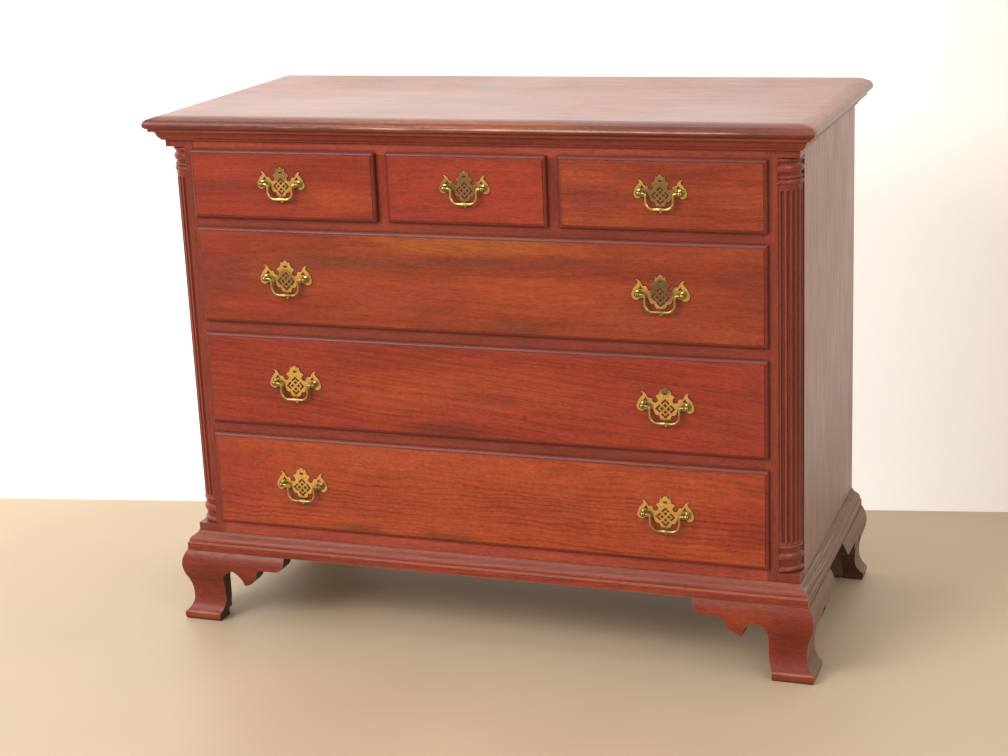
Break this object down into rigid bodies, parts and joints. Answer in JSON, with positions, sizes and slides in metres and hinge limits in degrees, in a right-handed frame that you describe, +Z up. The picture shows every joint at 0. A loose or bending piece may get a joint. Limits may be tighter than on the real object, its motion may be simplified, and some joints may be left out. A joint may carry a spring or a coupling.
{
  "type": "chest of drawers",
  "caption": "Chippendale-style mahogany chest with small drawers over long ones, fluted quarter columns, ogee bracket feet and pierced brass bail pulls.",
  "frame": {"origin": "on the floor under the middle of the whole chest, pulls and top included", "axes": "+X to the viewer's right when facing the drawers, drawers open towards -Y, +Z up"},
  "size_m": [1.091, 0.5045, 0.867],
  "materials": {
    "drawer_mahogany": "satin old shellac over figured mahogany, horizontal grain",
    "case_mahogany": "satin old shellac over plain mahogany",
    "top_mahogany": "polished mahogany, a little faded",
    "poplar": "raw secondary wood, oxidised",
    "brass": "lacquered cast and stamped brass with tarnish"
  },
  "bodies": {
    "case": {"back_boards": "poplar", "base_moulding": "case_mahogany", "bottom_board": "poplar", "bottom_rail": "case_mahogany", "corner_post_left": "case_mahogany", "corner_post_right": "case_mahogany", "cornice_moulding": "case_mahogany", "drawer_blades": "case_mahogany", "drawer_dividers": "case_mahogany", "drawer_runners": "poplar", "foot_front_left": "case_mahogany", "foot_front_right": "case_mahogany", "foot_glue_blocks": "poplar", "foot_rear_left": "case_mahogany", "foot_rear_right": "case_mahogany", "quarter_column_left": "case_mahogany", "quarter_column_right": "case_mahogany", "side_panel_left": "case_mahogany", "side_panel_right": "case_mahogany", "top_board": "top_mahogany", "top_rail": "case_mahogany"},
    "top_left_drawer": {"top_left_drawer_bottom_panel": "poplar", "top_left_drawer_front": "drawer_mahogany", "top_left_drawer_plates": "brass", "top_left_drawer_posts": "brass", "top_left_drawer_sides_and_back": "poplar"},
    "top_middle_drawer": {"top_middle_drawer_bottom_panel": "poplar", "top_middle_drawer_front": "drawer_mahogany", "top_middle_drawer_plates": "brass", "top_middle_drawer_posts": "brass", "top_middle_drawer_sides_and_back": "poplar"},
    "top_right_drawer": {"top_right_drawer_bottom_panel": "poplar", "top_right_drawer_front": "drawer_mahogany", "top_right_drawer_plates": "brass", "top_right_drawer_posts": "brass", "top_right_drawer_sides_and_back": "poplar"},
    "second_drawer": {"second_drawer_bottom_panel": "poplar", "second_drawer_front": "drawer_mahogany", "second_drawer_plates": "brass", "second_drawer_posts": "brass", "second_drawer_sides_and_back": "poplar"},
    "third_drawer": {"third_drawer_bottom_panel": "poplar", "third_drawer_front": "drawer_mahogany", "third_drawer_plates": "brass", "third_drawer_posts": "brass", "third_drawer_sides_and_back": "poplar"},
    "bottom_drawer": {"bottom_drawer_bottom_panel": "poplar", "bottom_drawer_front": "drawer_mahogany", "bottom_drawer_plates": "brass", "bottom_drawer_posts": "brass", "bottom_drawer_sides_and_back": "poplar"},
    "bottom_drawer_bail_left": {"bottom_drawer_bail_left": "brass"},
    "bottom_drawer_bail_right": {"bottom_drawer_bail_right": "brass"},
    "second_drawer_bail_left": {"second_drawer_bail_left": "brass"},
    "second_drawer_bail_right": {"second_drawer_bail_right": "brass"},
    "third_drawer_bail_left": {"third_drawer_bail_left": "brass"},
    "third_drawer_bail_right": {"third_drawer_bail_right": "brass"},
    "top_left_drawer_bail": {"top_left_drawer_bail": "brass"},
    "top_middle_drawer_bail": {"top_middle_drawer_bail": "brass"},
    "top_right_drawer_bail": {"top_right_drawer_bail": "brass"}
  },
  "joints": [
    {"name": "top_left_drawer_slide", "type": "slide", "parent": "case", "child": "top_left_drawer", "axis": [0, -1, 0], "range_m": [-0.0025, 0.3]},
    {"name": "top_middle_drawer_slide", "type": "slide", "parent": "case", "child": "top_middle_drawer", "axis": [0, -1, 0], "range_m": [0, 0.3]},
    {"name": "top_right_drawer_slide", "type": "slide", "parent": "case", "child": "top_right_drawer", "axis": [0, -1, 0], "range_m": [0, 0.3]},
    {"name": "second_drawer_slide", "type": "slide", "parent": "case", "child": "second_drawer", "axis": [0, -1, 0], "range_m": [0, 0.3]},
    {"name": "third_drawer_slide", "type": "slide", "parent": "case", "child": "third_drawer", "axis": [0, -1, 0], "range_m": [0, 0.3]},
    {"name": "bottom_drawer_slide", "type": "slide", "parent": "case", "child": "bottom_drawer", "axis": [0, -1, 0], "range_m": [0, 0.3]},
    {"name": "bottom_drawer_bail_left_hinge", "type": "hinge", "parent": "bottom_drawer", "child": "bottom_drawer_bail_left", "pos_m": [-0.3135, -0.24045, 0.255], "axis": [-1, 0, 0], "range_deg": [-6, 186]},
    {"name": "bottom_drawer_bail_right_hinge", "type": "hinge", "parent": "bottom_drawer", "child": "bottom_drawer_bail_right", "pos_m": [0.309, -0.24045, 0.255], "axis": [-1, 0, 0], "range_deg": [-6, 186]},
    {"name": "second_drawer_bail_left_hinge", "type": "hinge", "parent": "second_drawer", "child": "second_drawer_bail_left", "pos_m": [-0.315, -0.24045, 0.6065], "axis": [-1, 0, 0], "range_deg": [-6, 186]},
    {"name": "second_drawer_bail_right_hinge", "type": "hinge", "parent": "second_drawer", "child": "second_drawer_bail_right", "pos_m": [0.308, -0.24045, 0.6065], "axis": [-1, 0, 0], "range_deg": [-6, 186]},
    {"name": "third_drawer_bail_left_hinge", "type": "hinge", "parent": "third_drawer", "child": "third_drawer_bail_left", "pos_m": [-0.312, -0.24045, 0.431], "axis": [-1, 0, 0], "range_deg": [-6, 186]},
    {"name": "third_drawer_bail_right_hinge", "type": "hinge", "parent": "third_drawer", "child": "third_drawer_bail_right", "pos_m": [0.312, -0.24045, 0.431], "axis": [-1, 0, 0], "range_deg": [-6, 186]},
    {"name": "top_left_drawer_bail_hinge", "type": "hinge", "parent": "top_left_drawer", "child": "top_left_drawer_bail", "pos_m": [-0.3105, -0.24295, 0.7615], "axis": [-1, 0, 0], "range_deg": [-6, 186]},
    {"name": "top_middle_drawer_bail_hinge", "type": "hinge", "parent": "top_middle_drawer", "child": "top_middle_drawer_bail", "pos_m": [0, -0.24045, 0.7615], "axis": [-1, 0, 0], "range_deg": [-6, 186]},
    {"name": "top_right_drawer_bail_hinge", "type": "hinge", "parent": "top_right_drawer", "child": "top_right_drawer_bail", "pos_m": [0.3105, -0.24045, 0.7615], "axis": [-1, 0, 0], "range_deg": [-6, 186]}
  ]
}
